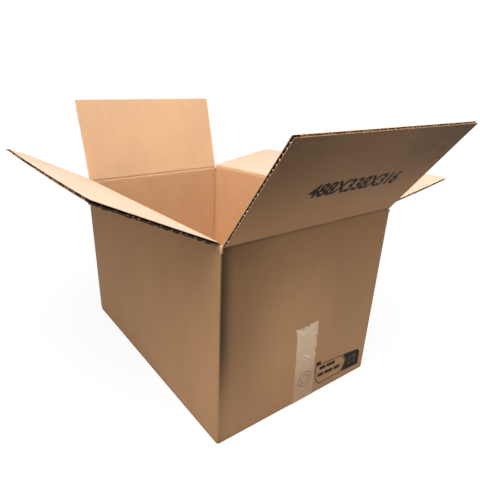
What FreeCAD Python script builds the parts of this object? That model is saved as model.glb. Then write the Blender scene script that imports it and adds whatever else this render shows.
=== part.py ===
import FreeCAD, Part
import Sketcher
import math
import os

# Open cardboard box: one folded sheet of corrugated board, its four top flaps and the tape under it.
# Millimetres. Origin: centre of the underside. X runs along the length, Y across the width, Z up.
# The front is the end at +X, and the left side is the long side at -Y.

SIZES = {
    # Room inside the closed box
    "inner_length": 480.0,
    "inner_width": 330.0,
    "inner_height": 300.0,
    # Corrugated board: two liners with a fluted medium between them
    "board": 4.0,
    "liner": 0.5,
    "medium": 0.4,
    "medium_web": 0.5,
    "flute_pitch": 6.7,
    "flute_crown": 0.6,
    # Folds and slots of the sheet
    "fold_inside": 0.5,
    "layer_gap": 0.2,
    "slot_clear": 1.0,
    "slot_deep": 6.0,
    "seam_gap": 1.0,
    "foot_inset": 1.0,
    # Glued joint of the sheet: a tab inside the back left corner
    "tab_length": 35.0,
    "tab_short": 8.0,
    "tab_slope": 10.0,
    "joint_inset": 1.0,
    "joint_groove": 2.5,
    # Crease that a top flap turns on
    "hinge_inset": 1.0,
    "bead_radius": 0.5,
    "hinge_clear": 0.3,
    "crush_angle": 12.0,
    "crease_strip": 9.0,
    # How far each top flap stands open, measured up from the horizontal
    "left_open": 27.0,
    "right_open": 9.2,
    "front_open": 53.9,
    "back_open": 75.6,
    # Tape along the bottom seam
    "tape_width": 50.0,
    "tape_film": 0.1,
    "tape_rise": 150.0,
    "tape_shift": 7.0,
}

LENGTH_IN = "(sizes.inner_length / 2)"
WIDTH_IN = "(sizes.inner_width / 2)"
LENGTH_OUT = "(sizes.inner_length / 2 + sizes.board)"
WIDTH_OUT = "(sizes.inner_width / 2 + sizes.board)"
FOLD_OUTSIDE = "(sizes.fold_inside + sizes.board)"
SECOND_LAYER = "(sizes.board + sizes.layer_gap)"
FLOOR = "(2 * sizes.board + sizes.layer_gap)"
SLOT_INSET = "(sizes.board + sizes.slot_clear)"

# The end flaps close first and the side flaps close over them, so the side hinges sit a board higher
END_HINGE_UP = f"({FLOOR} + sizes.inner_height + sizes.board - sizes.hinge_inset)"
SIDE_HINGE_UP = f"({END_HINGE_UP} + sizes.board + sizes.hinge_clear)"

# Side flaps meet in the middle of the width, and the end flaps are as deep
FLAP_DEPTH = f"({WIDTH_OUT} - sizes.hinge_inset - sizes.seam_gap / 2)"

TAPE_EDGES = ("(sizes.tape_shift - sizes.tape_width / 2)", "(sizes.tape_shift + sizes.tape_width / 2)")

# A crease is crushed thin: a mitre inside, for the closed flap, and a slight taper outside
MITRE = "45 deg"
CRUSH = "(sizes.crush_angle * 1 deg)"
CLEAR_RADIUS = "(sizes.bead_radius + sizes.hinge_clear)"
CREASE_INSIDE = "(sizes.board - sizes.hinge_inset)"
CREASE_OUTSIDE = f"(sizes.hinge_inset / tan({CRUSH}))"

doc = FreeCAD.newDocument("cardboard_box")
sheet = doc.addObject("Spreadsheet::Sheet", "sizes")
for row, (alias, size) in enumerate(SIZES.items(), start=1):
    sheet.set(f"A{row}", alias)
    sheet.set(f"B{row}", str(size))
    sheet.setAlias(f"B{row}", alias)
doc.recompute()


def value(expression):
    return float(sheet.evalExpression(expression))


def new_body(name):
    body = doc.addObject("PartDesign::Body", name)
    body.Label = name
    return body


def origin_feature(body, role):
    return next(item for item in body.Origin.OriginFeatures if item.Role == role)


def new_sketch(body, name, plane, offset, corners):
    """A closed outline on one of the body's own planes, moved along that plane's normal."""
    sketch = body.newObject("Sketcher::SketchObject", name)
    sketch.AttachmentSupport = [(origin_feature(body, plane), "")]
    sketch.MapMode = "FlatFace"
    sketch.setExpression("AttachmentOffset.Base.z", offset)
    for loop in corners:
        draw_outline(sketch, loop)
    return sketch


def draw_outline(sketch, corners):
    """Draw a closed outline whose corners are pairs of expressions, each bound to the sheet.

    A third item (centre x, centre y, radius, turn) makes the edge that leaves the corner an arc.
    """
    spots = [FreeCAD.Vector(value(corner[0]), value(corner[1]), 0) for corner in corners]
    edges = []
    for index, corner in enumerate(corners):
        start, end = spots[index], spots[(index + 1) % len(spots)]
        if len(corner) == 2:
            edges.append((sketch.addGeometry(Part.LineSegment(start, end)), 1, 2))
            continue
        centre_x, centre_y, radius, turn = corner[2]
        centre = FreeCAD.Vector(value(centre_x), value(centre_y), 0)
        first, last = (start, end) if turn == "left" else (end, start)
        begin, finish = (math.atan2(spot.y - centre.y, spot.x - centre.x) for spot in (first, last))
        if finish < begin:
            finish += 2 * math.pi
        circle = Part.Circle(centre, FreeCAD.Vector(0, 0, 1), value(radius))
        arc = sketch.addGeometry(Part.ArcOfCircle(circle, begin, finish))
        edges.append((arc, 1, 2) if turn == "left" else (arc, 2, 1))
        bind(sketch, radius, "Radius", arc)
    for index, (edge, start_point, end_point) in enumerate(edges):
        following, following_start, _ = edges[(index + 1) % len(edges)]
        joint = Sketcher.Constraint("Coincident", edge, end_point, following, following_start)
        sketch.addConstraint(joint)
        bind(sketch, corners[index][0], "DistanceX", -1, 1, edge, start_point)
        bind(sketch, corners[index][1], "DistanceY", -1, 1, edge, start_point)


def bind(sketch, expression, kind, *geometry):
    """Add a dimension to the sketch and bind it to its expression."""
    number = sketch.addConstraint(Sketcher.Constraint(kind, *geometry, value(expression)))
    sketch.setExpression(f"Constraints[{number}]", expression)


def flipped(corners, side):
    """The same outline on the other side of its vertical axis when side is -1."""
    if side > 0:
        return corners
    other_turn = {"left": "right", "right": "left"}
    result = []
    for x, y, *arc in corners:
        corner = [f"(-1 * {x})", y]
        if arc:
            centre_x, centre_y, radius, turn = arc[0]
            corner.append((f"(-1 * {centre_x})", centre_y, radius, other_turn[turn]))
        result.append(tuple(corner))
    return result


def midplane(body, kind, name, sketch, length):
    """A pad or a pocket that runs the same way to both sides of its sketch."""
    feature = body.newObject(kind, name)
    feature.Profile = sketch
    feature.SideType = "Symmetric"
    feature.setExpression("Length", length)
    return feature


def mirror(body, name, original, plane):
    feature = body.newObject("PartDesign::Mirrored", name)
    feature.Originals = [original]
    feature.MirrorPlane = (origin_feature(body, plane), [""])
    body.Tip = feature
    doc.recompute()
    return feature


def corner_arcs(half_x, half_y, radius):
    """A rectangle about the origin with round corners, run anticlockwise."""
    corners = []
    for sign_x, sign_y in ((1, -1), (1, 1), (-1, 1), (-1, -1)):
        centre = (f"({sign_x} * ({half_x} - {radius}))", f"({sign_y} * ({half_y} - {radius}))")
        on_y = (centre[0], f"({sign_y} * {half_y})")
        on_x = (f"({sign_x} * {half_x})", centre[1])
        first, last = (on_y, on_x) if sign_x * sign_y < 0 else (on_x, on_y)
        corners += [(*first, (*centre, radius, "left")), last]
    return corners


def wall_ring_outline():
    """The walls' outer outline, with the glued joint of the sheet in the back left corner.

    The end wall folds inside that corner, and the side wall's cut end lies over the fold.
    """
    three_folds = corner_arcs(LENGTH_OUT, WIDTH_OUT, FOLD_OUTSIDE)[:6]
    centre = (f"(-1 * ({LENGTH_OUT} - {FOLD_OUTSIDE}))", f"(-1 * ({WIDTH_IN} - {FOLD_OUTSIDE}))")
    depth = f"sqrt({FOLD_OUTSIDE} ^ 2 - ({FOLD_OUTSIDE} - sizes.joint_groove) ^ 2)"
    groove_end = f"(-1 * ({LENGTH_OUT} - sizes.joint_groove))"
    panel_end = f"(-1 * ({LENGTH_OUT} - sizes.joint_inset))"
    return three_folds + [
        (f"(-1 * {LENGTH_OUT})", centre[1], (*centre, FOLD_OUTSIDE, "left")),
        (groove_end, f"({centre[1]} - {depth})"),
        (groove_end, f"(-1 * {WIDTH_IN})"),
        (panel_end, f"(-1 * {WIDTH_IN})"),
        (panel_end, f"(-1 * {WIDTH_OUT})"),
    ]


def folded_wall(outside, hinge_up, bottom, flap_end):
    """Section of one wall with its bottom flap, the wall standing at +outside and folding inwards.

    Its top is crushed thin under the hinge, round the bead of the flap that turns there.
    """
    hinge = f"({outside} - sizes.hinge_inset)"
    inside = f"({outside} - sizes.board)"
    mitre_turn = f"({MITRE} - asin(sizes.hinge_clear / {CLEAR_RADIUS}))"
    mitre_drop = f"({CREASE_INSIDE} + sizes.hinge_clear / cos({MITRE}))"
    fold_centre = (f"({outside} - {FOLD_OUTSIDE})", f"({bottom} + {FOLD_OUTSIDE})")
    return [
        (flap_end, bottom),
        (fold_centre[0], bottom, (*fold_centre, FOLD_OUTSIDE, "left")),
        (outside, fold_centre[1]),
        (outside, f"({hinge_up} - {CREASE_OUTSIDE})"),
        (
            f"({hinge} + {CLEAR_RADIUS} * sin({CRUSH}))",
            f"({hinge_up} - {CLEAR_RADIUS} * cos({CRUSH}))",
            (hinge, hinge_up, CLEAR_RADIUS, "right"),
        ),
        (
            f"({hinge} - {CLEAR_RADIUS} * sin({mitre_turn}))",
            f"({hinge_up} - {CLEAR_RADIUS} * cos({mitre_turn}))",
        ),
        (inside, f"({hinge_up} - {mitre_drop})"),
        (inside, fold_centre[1], (*fold_centre, "sizes.fold_inside", "right")),
        (fold_centre[0], f"({bottom} + sizes.board)"),
        (flap_end, f"({bottom} + sizes.board)"),
    ]


def make_carton_body():
    body = new_body("carton_body")
    foot = f"({SECOND_LAYER} + {FOLD_OUTSIDE})"
    rim = f"({END_HINGE_UP} - sizes.slot_deep)"
    loops = [wall_ring_outline(), corner_arcs(LENGTH_IN, WIDTH_IN, "sizes.fold_inside")]
    ring = body.newObject("PartDesign::Pad", "wall_ring")
    ring.Profile = new_sketch(body, "wall_ring_outline", "XY_Plane", foot, loops)
    ring.setExpression("Length", f"{rim} - {foot}")
    doc.recompute()

    side_loop = folded_wall(WIDTH_OUT, SIDE_HINGE_UP, "0", "(sizes.seam_gap / 2)")
    side_sketch = new_sketch(body, "side_wall_section", "YZ_Plane", "0", [side_loop])
    side = midplane(body, "PartDesign::Pad", "side_wall", side_sketch, f"2 * ({LENGTH_OUT} - {SLOT_INSET})")
    mirror(body, "other_side_wall", side, "XZ_Plane")

    end_flap_tip = f"({LENGTH_OUT} - sizes.hinge_inset - {FLAP_DEPTH})"
    end_loop = folded_wall(LENGTH_OUT, END_HINGE_UP, SECOND_LAYER, end_flap_tip)
    end_sketch = new_sketch(body, "end_wall_section", "XZ_Plane", "0", [end_loop])
    end = midplane(body, "PartDesign::Pad", "end_wall", end_sketch, f"2 * ({WIDTH_OUT} - {SLOT_INSET})")
    mirror(body, "other_end_wall", end, "YZ_Plane")

    widen_side_feet(body)
    add_glue_tab(body)
    cut_tape_bed(body)
    return body


def widen_side_feet(body):
    """The bottom side flaps reach further along the box than the walls' slots, under the end walls."""
    end = f"({LENGTH_OUT} - sizes.foot_inset)"
    seam, fold = "(sizes.seam_gap / 2)", f"({WIDTH_OUT} - {FOLD_OUTSIDE})"
    foot_loop = [(f"(-1 * {end})", seam), (end, seam), (end, fold), (f"(-1 * {end})", fold)]
    foot = body.newObject("PartDesign::Pad", "side_foot")
    foot.Profile = new_sketch(body, "side_foot_outline", "XY_Plane", "0", [foot_loop])
    foot.setExpression("Length", "sizes.board")
    doc.recompute()
    mirror(body, "other_side_foot", foot, "XZ_Plane")


def add_glue_tab(body):
    """The back wall's tab, folded along the inside of the left wall and glued there."""
    base = f"({FLOOR} + sizes.tab_short)"
    top = f"({FLOOR} + sizes.inner_height - sizes.tab_short)"
    fold = f"(-1 * {LENGTH_IN})"
    tip = f"({fold} + sizes.tab_length)"
    tab_loop = [(fold, base), (tip, f"({base} + sizes.tab_slope)"), (tip, f"({top} - sizes.tab_slope)"), (fold, top)]
    layer = f"({WIDTH_IN} - sizes.board / 2)"
    sketch = new_sketch(body, "glue_tab_outline", "XZ_Plane", layer, [tab_loop])
    midplane(body, "PartDesign::Pad", "glue_tab", sketch, "sizes.board")


def cut_tape_bed(body):
    """The bed that the tape presses into the underside, so that the box stands on its board."""
    low, high = TAPE_EDGES
    bed_loop = [(f"(-1 * {LENGTH_OUT})", low), (LENGTH_OUT, low), (LENGTH_OUT, high), (f"(-1 * {LENGTH_OUT})", high)]
    sketch = new_sketch(body, "tape_bed_outline", "XY_Plane", "0", [bed_loop])
    midplane(body, "PartDesign::Pocket", "tape_bed", sketch, "2 * sizes.tape_film")


def make_flap(name, side, along_x, hinge_out, hinge_up, half_length, opening):
    """A top flap, drawn lying flat outwards with its hinge on the origin, then opened and placed.

    Its section is the real board's: two liners and a fluted medium, open at the free edge. Flutes that open
    to the inner liner alternate with flutes that open to the outer one, and a side edge cuts through one.
    """
    body = new_body(name)
    section_plane, edge_plane, hinge_direction, edge_normal = (
        ("YZ_Plane", "XZ_Plane", "X_Axis", -1) if along_x else ("XZ_Plane", "YZ_Plane", "Y_Axis", 1)
    )
    bead = "sizes.bead_radius"
    section = [
        (f"({bead} * cos({CRUSH}))", f"(-1 * {bead} * sin({CRUSH}))"),
        (CREASE_OUTSIDE, "(-1 * sizes.hinge_inset)"),
        (FLAP_DEPTH, "(-1 * sizes.hinge_inset)"),
        (FLAP_DEPTH, CREASE_INSIDE),
        (CREASE_INSIDE, CREASE_INSIDE),
        (f"({bead} * cos({MITRE}))", f"({bead} * sin({MITRE}))", ("0", "0", bead, "left")),
    ]
    sketch = new_sketch(body, f"{name}_section", section_plane, "0", [flipped(section, side)])
    midplane(body, "PartDesign::Pad", f"{name}_board", sketch, f"2 * {half_length}")
    doc.recompute()

    low = "(sizes.liner - sizes.hinge_inset)"
    high = f"({CREASE_INSIDE} - sizes.liner)"
    crown = "sizes.flute_crown"
    root = f"(sizes.flute_pitch / 2 - {crown} - sizes.medium_web)"
    reach = f"({half_length} + {root} - sizes.medium_web)"
    middle = f"({edge_normal} * {side} * (sizes.crease_strip + {FLAP_DEPTH} + sizes.flute_pitch) / 2)"
    run = f"({FLAP_DEPTH} + sizes.flute_pitch - sizes.crease_strip)"
    rows = (
        ("inner_flutes", root, crown, f"({low} + sizes.medium)", high,
         f"2 * floor({reach} / sizes.flute_pitch) + 1"),
        ("outer_flutes", crown, root, low, f"({high} - sizes.medium)",
         f"2 * floor({reach} / sizes.flute_pitch + 0.5)"),
    )
    for label, top_half, bottom_half, bottom, top, count in rows:
        first = f"(-1 * sizes.flute_pitch * ({count} - 1) / 2)"
        flute = [
            (f"({first} - {bottom_half})", bottom),
            (f"({first} + {bottom_half})", bottom),
            (f"({first} + {top_half})", top),
            (f"({first} - {top_half})", top),
        ]
        sketch = new_sketch(body, f"{name}_{label}_outline", edge_plane, middle, [flute])
        pocket = midplane(body, "PartDesign::Pocket", f"{name}_{label}_first", sketch, run)
        doc.recompute()
        pattern = body.newObject("PartDesign::LinearPattern", f"{name}_{label}")
        pattern.Originals = [pocket]
        pattern.Direction = (origin_feature(body, hinge_direction), [""])
        pattern.Mode = "Spacing"
        pattern.setExpression("Offset", "sizes.flute_pitch")
        pattern.setExpression("Occurrences", count)
        body.Tip = pattern
        doc.recompute()

    axis = FreeCAD.Vector(side, 0, 0) if along_x else FreeCAD.Vector(0, -side, 0)
    body.Placement = FreeCAD.Placement(FreeCAD.Vector(), FreeCAD.Rotation(axis, value(opening)))
    body.setExpression("Placement.Rotation.Angle", opening)
    body.setExpression(f"Placement.Base.{'y' if along_x else 'x'}", f"{side} * {hinge_out}")
    body.setExpression("Placement.Base.z", hinge_up)
    return body


def make_bottom_tape():
    """One strip of film along the seam under the box and up both ends."""
    body = new_body("bottom_tape")
    bend = "sizes.foot_inset"
    film = "sizes.tape_film"
    bend_x, bend_y = f"({LENGTH_OUT} - {bend})", f"({bend} + {film})"
    faces = []
    for end, bottom, radius in ((f"({LENGTH_OUT} + {film})", "0", f"({bend} + {film})"), (LENGTH_OUT, film, bend)):
        faces.append([
            (f"(-1 * {end})", "sizes.tape_rise"),
            (f"(-1 * {end})", bend_y, (f"(-1 * {bend_x})", bend_y, radius, "left")),
            (f"(-1 * {bend_x})", bottom),
            (bend_x, bottom, (bend_x, bend_y, radius, "left")),
            (end, bend_y),
            (end, "sizes.tape_rise"),
        ])
    outer, inner = faces
    loop = outer + flipped(inner, -1)
    sketch = new_sketch(body, "tape_section", "XZ_Plane", "(-1 * sizes.tape_shift)", [loop])
    midplane(body, "PartDesign::Pad", "tape_strip", sketch, "sizes.tape_width")
    return body


parts = [make_carton_body(), make_bottom_tape()]
SIDE_HINGE = (f"({WIDTH_OUT} - sizes.hinge_inset)", SIDE_HINGE_UP, f"({LENGTH_OUT} - {SLOT_INSET})")
END_HINGE = (f"({LENGTH_OUT} - sizes.hinge_inset)", END_HINGE_UP, f"({WIDTH_OUT} - {SLOT_INSET})")
for name, side, along_x, hinge in (
    ("left_flap", -1, True, SIDE_HINGE),
    ("right_flap", 1, True, SIDE_HINGE),
    ("front_flap", 1, False, END_HINGE),
    ("back_flap", -1, False, END_HINGE),
):
    parts.append(make_flap(name, side, along_x, *hinge, f"sizes.{name.split('_')[0]}_open"))
doc.recompute()

for item in doc.Objects:
    if "Invalid" in item.State or "Error" in item.State:
        raise RuntimeError(f"{item.Label} did not recompute: {item.State}")

os.makedirs("parts", exist_ok=True)
for body in parts:
    shape = body.Shape
    if shape.isNull() or not shape.isValid():
        raise RuntimeError(f"{body.Label} has no valid shape")
    box = shape.BoundBox
    print(body.Label, len(shape.Solids), "solids", round(shape.Volume), "mm3",
          [round(n, 2) for n in (box.XMin, box.XMax, box.YMin, box.YMax, box.ZMin, box.ZMax)])
    shape.exportStep(f"parts/{body.Label}.step")
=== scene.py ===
# %% [markdown]
# An open shipping carton
#
# The object is a plain corrugated carton with its four top flaps thrown open.
# The CAD model already gives the true size, the folded tray and the hinges, so
# it is loaded first and nothing here moves it. Everything this lesson adds
# is paper: the liners and the wavy middle of the flaps, the crushed creases, a
# strip of clear tape and a little black ink.

# %% Load the fixed frame
import math
import random

import bmesh
import bpy
from mathutils import Euler, Matrix, Vector, noise


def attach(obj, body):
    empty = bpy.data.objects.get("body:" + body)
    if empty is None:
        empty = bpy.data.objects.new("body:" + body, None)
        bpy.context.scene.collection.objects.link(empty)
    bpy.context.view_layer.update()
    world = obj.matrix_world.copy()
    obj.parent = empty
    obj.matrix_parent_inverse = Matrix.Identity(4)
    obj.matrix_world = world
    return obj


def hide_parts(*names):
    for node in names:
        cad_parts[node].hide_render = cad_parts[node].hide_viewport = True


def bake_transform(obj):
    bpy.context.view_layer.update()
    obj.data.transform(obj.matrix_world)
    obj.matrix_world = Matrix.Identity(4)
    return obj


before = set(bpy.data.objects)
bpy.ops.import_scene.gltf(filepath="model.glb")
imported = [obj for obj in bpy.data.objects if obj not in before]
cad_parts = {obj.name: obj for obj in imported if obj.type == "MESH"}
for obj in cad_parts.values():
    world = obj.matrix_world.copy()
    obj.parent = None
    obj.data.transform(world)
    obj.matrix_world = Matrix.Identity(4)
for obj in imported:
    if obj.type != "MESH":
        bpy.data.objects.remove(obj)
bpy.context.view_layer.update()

MM = 0.001


def ease(value, start, end):
    """0 before the start, 1 past the end, and eased between them."""
    t = min(1.0, max(0.0, (value - start) / (end - start)))
    return t * t * (3.0 - 2.0 * t)


def rough(x, y, z):
    """Smooth noise between about -1 and 1, the same on each run."""
    return noise.noise(Vector((x, y, z)))


# %% [markdown]
# The camera
#
# A camera is matched to a photograph by its place, its direction, its lens and
# its shift. The numbers here come from matching the carton's corners and flap
# tips. The shift says that the picture is a crop from one side of a larger
# frame, which a turn of the camera alone couldn't copy.

# %% Camera
CAMERA_PLACE = Vector((0.596769, -0.427222, 0.480014))
CAMERA_TARGET = Vector((0.0, -0.045321, 0.188139))
CAMERA_ROLL = math.radians(-0.35)

camera_data = bpy.data.cameras.new("photo_camera")
camera_data.lens = 29.59
camera_data.sensor_width = 36.0
camera_data.shift_x = 0.0883
camera_data.shift_y = 0.0386
camera_data.clip_start = 0.01
camera = bpy.data.objects.new("photo_camera", camera_data)
camera.location = CAMERA_PLACE
camera.rotation_euler = (CAMERA_TARGET - CAMERA_PLACE).to_track_quat("-Z", "Y").to_euler()
camera.rotation_euler.rotate_axis("Z", CAMERA_ROLL)
bpy.context.scene.collection.objects.link(camera)
bpy.context.scene.camera = camera
print("camera at", list(CAMERA_PLACE), "lens", round(camera_data.lens, 2))

# %% [markdown]
# A small set of node helpers
#
# Every finish below is a chain of nodes. These helpers make a node, set its
# sockets and join it to what feeds it, so that a material can be read from top
# to bottom like a recipe.

# %% Node helpers
def new_material(name):
    """A material with its node tree and the shader that it ends in."""
    material = bpy.data.materials.new(name)
    material.use_nodes = True
    shader = material.node_tree.nodes["Principled BSDF"]
    return material, material.node_tree, shader


def feed(tree, socket, source):
    """Joins a socket to another node's output, or sets it to a plain value."""
    if isinstance(source, bpy.types.NodeSocket):
        tree.links.new(source, socket)
    else:
        socket.default_value = source


def math_node(tree, operation, a, b=0.0, clamp=False):
    """One sum or other operation on two numbers."""
    node = tree.nodes.new("ShaderNodeMath")
    node.operation = operation
    node.use_clamp = clamp
    feed(tree, node.inputs[0], a)
    feed(tree, node.inputs[1], b)
    return node.outputs[0]


def multiply(tree, *factors):
    """All the factors multiplied together."""
    product = factors[0]
    for factor in factors[1:]:
        product = math_node(tree, "MULTIPLY", product, factor)
    return product


def add(tree, *terms):
    """All the terms added up."""
    total = terms[0]
    for term in terms[1:]:
        total = math_node(tree, "ADD", total, term)
    return total


def separate(tree, vector):
    """A vector's three numbers, each as a socket."""
    node = tree.nodes.new("ShaderNodeSeparateXYZ")
    feed(tree, node.inputs[0], vector)
    return node.outputs[0], node.outputs[1], node.outputs[2]


def object_place(tree):
    """Where a point of the piece is, in metres of the carton's own frame."""
    return tree.nodes.new("ShaderNodeTexCoord").outputs["Object"]


def attribute(tree, name):
    """A number that the mesh carries at each point."""
    node = tree.nodes.new("ShaderNodeAttribute")
    node.attribute_name = name
    return node.outputs["Fac"]


def vector_length(tree, vector):
    """How long a vector is."""
    node = tree.nodes.new("ShaderNodeVectorMath")
    node.operation = "LENGTH"
    feed(tree, node.inputs[0], vector)
    return node.outputs["Value"]


def stretch(tree, vector, scale):
    """The vector with each axis multiplied, to make a pattern long one way."""
    node = tree.nodes.new("ShaderNodeVectorMath")
    node.operation = "MULTIPLY"
    feed(tree, node.inputs[0], vector)
    node.inputs[1].default_value = scale
    return node.outputs[0]


def noise_node(tree, vector, scale, detail=3.0, roughness=0.5):
    """A cloudy pattern between 0 and 1; a larger scale gives smaller clouds."""
    node = tree.nodes.new("ShaderNodeTexNoise")
    feed(tree, node.inputs["Vector"], vector)
    node.inputs["Scale"].default_value = scale
    node.inputs["Detail"].default_value = detail
    node.inputs["Roughness"].default_value = roughness
    return node.outputs["Fac"]


def remap(tree, value, low, high, to_low, to_high, smooth=False):
    """The value's place between low and high, read off between two others."""
    node = tree.nodes.new("ShaderNodeMapRange")
    if smooth:
        node.interpolation_type = "SMOOTHSTEP"
    feed(tree, node.inputs["Value"], value)
    node.inputs["From Min"].default_value = low
    node.inputs["From Max"].default_value = high
    feed(tree, node.inputs["To Min"], to_low)
    feed(tree, node.inputs["To Max"], to_high)
    return node.outputs["Result"]


def spread(tree, pattern, low, high):
    """Noise, which mostly lies between 0.3 and 0.7, spread from low to high."""
    return remap(tree, pattern, 0.3, 0.7, low, high)


def mix_colour(tree, factor, a, b, blend="MIX"):
    """Colour a, with colour b laid over it by the factor."""
    node = tree.nodes.new("ShaderNodeMix")
    node.data_type = "RGBA"
    node.blend_type = blend
    feed(tree, node.inputs[0], factor)
    feed(tree, node.inputs[6], a)
    feed(tree, node.inputs[7], b)
    return node.outputs[2]


def choose(tree, factor, a, b):
    """The number a where the factor is 0, b where it is 1, and between them a blend."""
    node = tree.nodes.new("ShaderNodeMix")
    feed(tree, node.inputs[0], factor)
    feed(tree, node.inputs[2], a)
    feed(tree, node.inputs[3], b)
    return node.outputs[0]


def grey_colour(tree, value):
    """A number as a grey, to multiply a colour by."""
    node = tree.nodes.new("ShaderNodeCombineColor")
    for channel in range(3):
        feed(tree, node.inputs[channel], value)
    return node.outputs[0]


def bump_node(tree, height, distance):
    """A relief for the shader's normal, with its depth in metres."""
    node = tree.nodes.new("ShaderNodeBump")
    node.inputs["Strength"].default_value = 1.0
    node.inputs["Distance"].default_value = distance
    feed(tree, node.inputs["Height"], height)
    return node.outputs["Normal"]


# %% [markdown]
# Kraft paper
#
# Corrugated board shows two liners, and they aren't the same paper. The inner
# one is paler and warmer, the outer one browner and greyer. Both are recycled
# stock: soft clouds, short fibres that lie across the flutes, a few dark bits,
# and the faint washboard where the liner sinks between two flutes. One recipe
# makes them all, fed with a flat board coordinate in metres: across the flutes,
# along the flutes, and a third number that tells the sheets apart.

# %% Kraft recipe
FLUTE_PITCH = 6.7 * MM
OUTER_KRAFT = (0.385, 0.213, 0.104, 1.0)
INNER_KRAFT = (0.66, 0.40, 0.215, 1.0)
# A paler, greyer copy of the inner liner, painted as highlight on the open flaps.
HIGHLIGHT_KRAFT = (0.72, 0.478, 0.332, 1.0)
MEDIUM_KRAFT = (0.34, 0.215, 0.125, 1.0)


def kraft_finish(tree, shader, board, colour, shade_and_wear, washboard=1.0, gloss=0.12, sheen=0.0):
    """Colour, roughness and relief of kraft paper on a board coordinate."""
    across = separate(tree, board)[0]
    clouds = noise_node(tree, board, 9.0, 4.0, 0.55)
    blotches = noise_node(tree, board, 70.0, 4.0, 0.6)
    streaks = noise_node(tree, stretch(tree, board, (60.0, 5.0, 40.0)), 1.0, 3.0)
    fibres = noise_node(tree, stretch(tree, board, (420.0, 1500.0, 900.0)), 1.0, 3.0, 0.65)
    grain = noise_node(tree, stretch(tree, board, (1900.0, 2600.0, 1900.0)), 1.0, 2.0)
    bits = noise_node(tree, stretch(tree, board, (360.0, 640.0, 500.0)), 1.0, 1.0)

    flute = math_node(tree, "SINE", multiply(tree, across, 2.0 * math.pi / FLUTE_PITCH))
    shade = spread(tree, clouds, 0.955, 1.045)
    for pattern, depth in ((blotches, 0.022), (streaks, 0.018), (fibres, 0.045), (grain, 0.02)):
        shade = multiply(tree, shade, spread(tree, pattern, 1.0 - depth, 1.0 + depth))
    rib = 0.006 * washboard
    ribbed = remap(tree, flute, -1.0, 1.0, 1.0 - rib, 1.0 + rib)
    dark_bits = remap(tree, bits, 0.70, 0.76, 1.0, 0.80)
    # The last factor carries each piece's painted shade along with its wear.
    shade = multiply(tree, shade, ribbed, dark_bits, shade_and_wear)
    tinted = mix_colour(tree, 1.0, colour, grey_colour(tree, shade), "MULTIPLY")
    feed(tree, shader.inputs["Base Color"], tinted)
    feed(tree, shader.inputs["Roughness"], spread(tree, blotches, 0.58, 0.72))
    shader.inputs["Specular IOR Level"].default_value = gloss
    shader.inputs["Sheen Weight"].default_value = sheen
    shader.inputs["Sheen Roughness"].default_value = 0.45
    relief = add(tree, multiply(tree, flute, 0.5 * washboard), multiply(tree, fibres, 0.8),
                 multiply(tree, clouds, 4.0))
    feed(tree, shader.inputs["Normal"], bump_node(tree, relief, 0.03 * MM))


def sheet_material(name, colour, highlighted=None, **paper):
    """Kraft for a piece that has its own flat board coordinate in a UV map."""
    material, tree, shader = new_material(name)
    uv = tree.nodes.new("ShaderNodeUVMap")
    uv.uv_map = "board"
    if highlighted is not None:
        # The paler colour is a painted highlight, laid on by an attribute of the piece.
        colour = mix_colour(tree, attribute(tree, "painted_highlight"), colour, highlighted)
    kraft_finish(tree, shader, uv.outputs["UV"], colour, attribute(tree, "shade_and_wear"), **paper)
    return material


outer_liner = sheet_material("outer_liner_kraft", OUTER_KRAFT)
inner_liner = sheet_material("inner_liner_kraft", INNER_KRAFT, HIGHLIGHT_KRAFT, gloss=0.5, sheen=0.12)
fluted_medium = sheet_material("fluted_medium_kraft", MEDIUM_KRAFT, washboard=0.0)


def fibre_material(name, dark, light):
    """Torn fibre: paler than any liner, dry and quite without gloss."""
    material, tree, shader = new_material(name)
    speck = noise_node(tree, object_place(tree), 900.0, 2.0)
    feed(tree, shader.inputs["Base Color"],
         mix_colour(tree, spread(tree, speck, 0.0, 1.0), dark, light))
    shader.inputs["Roughness"].default_value = 0.95
    shader.inputs["Specular IOR Level"].default_value = 0.1
    return material


torn_fibre = fibre_material("torn_fibre", (0.50, 0.34, 0.22, 1.0), (0.86, 0.66, 0.49, 1.0))
web_fibre = fibre_material("web_fibre", (0.52, 0.29, 0.17, 1.0), (0.82, 0.50, 0.33, 1.0))
print("papers", [material.name for material in bpy.data.materials])

# %% [markdown]
# The tray of the carton
#
# The tray is the CAD solid itself: four walls, folded corners, slots and the
# overlapped bottom. Its faces have no UV map, so the finish works from Object
# coordinates. Which side of the board a point is on tells which liner shows
# there. Round the walls x + y runs across the flutes on either pair of walls,
# and on the bottom flaps it is x below and y above.

# %% Places on the tray
BOARD = 4.0 * MM
HALF_LENGTH, HALF_WIDTH = 244 * MM, 169 * MM
INSIDE_LENGTH, INSIDE_WIDTH = HALF_LENGTH - BOARD, HALF_WIDTH - BOARD
SLOT_FLOOR = 305 * MM
UPPER_BOTTOM = 8.2 * MM


def beyond(tree, value, limit):
    """1 where the value is past the limit and 0 before it."""
    return remap(tree, value, limit, limit + 0.01 * MM, 0.0, 1.0)


def short_of(tree, value, limit):
    """1 where the value hasn't reached the limit and 0 past it."""
    return remap(tree, value, limit, limit + 0.01 * MM, 1.0, 0.0)


def tray_board(tree, x, y, z, far_x, far_y, inside_walls):
    """The flat board coordinate of a point on the tray."""
    on_bottom = multiply(tree, short_of(tree, z, UPPER_BOTTOM + 0.01 * MM), inside_walls)
    lower_layer = short_of(tree, z, BOARD + 0.1 * MM)
    board = tree.nodes.new("ShaderNodeCombineXYZ")
    bottom_across, bottom_along = choose(tree, lower_layer, y, x), choose(tree, lower_layer, x, y)
    feed(tree, board.inputs[0], choose(tree, on_bottom, add(tree, x, y), bottom_across))
    feed(tree, board.inputs[1], choose(tree, on_bottom, z, bottom_along))
    sheet_apart = math_node(tree, "SUBTRACT", far_x, far_y)
    feed(tree, board.inputs[2], multiply(tree, sheet_apart, 0.7))
    return board.outputs[0]


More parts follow.
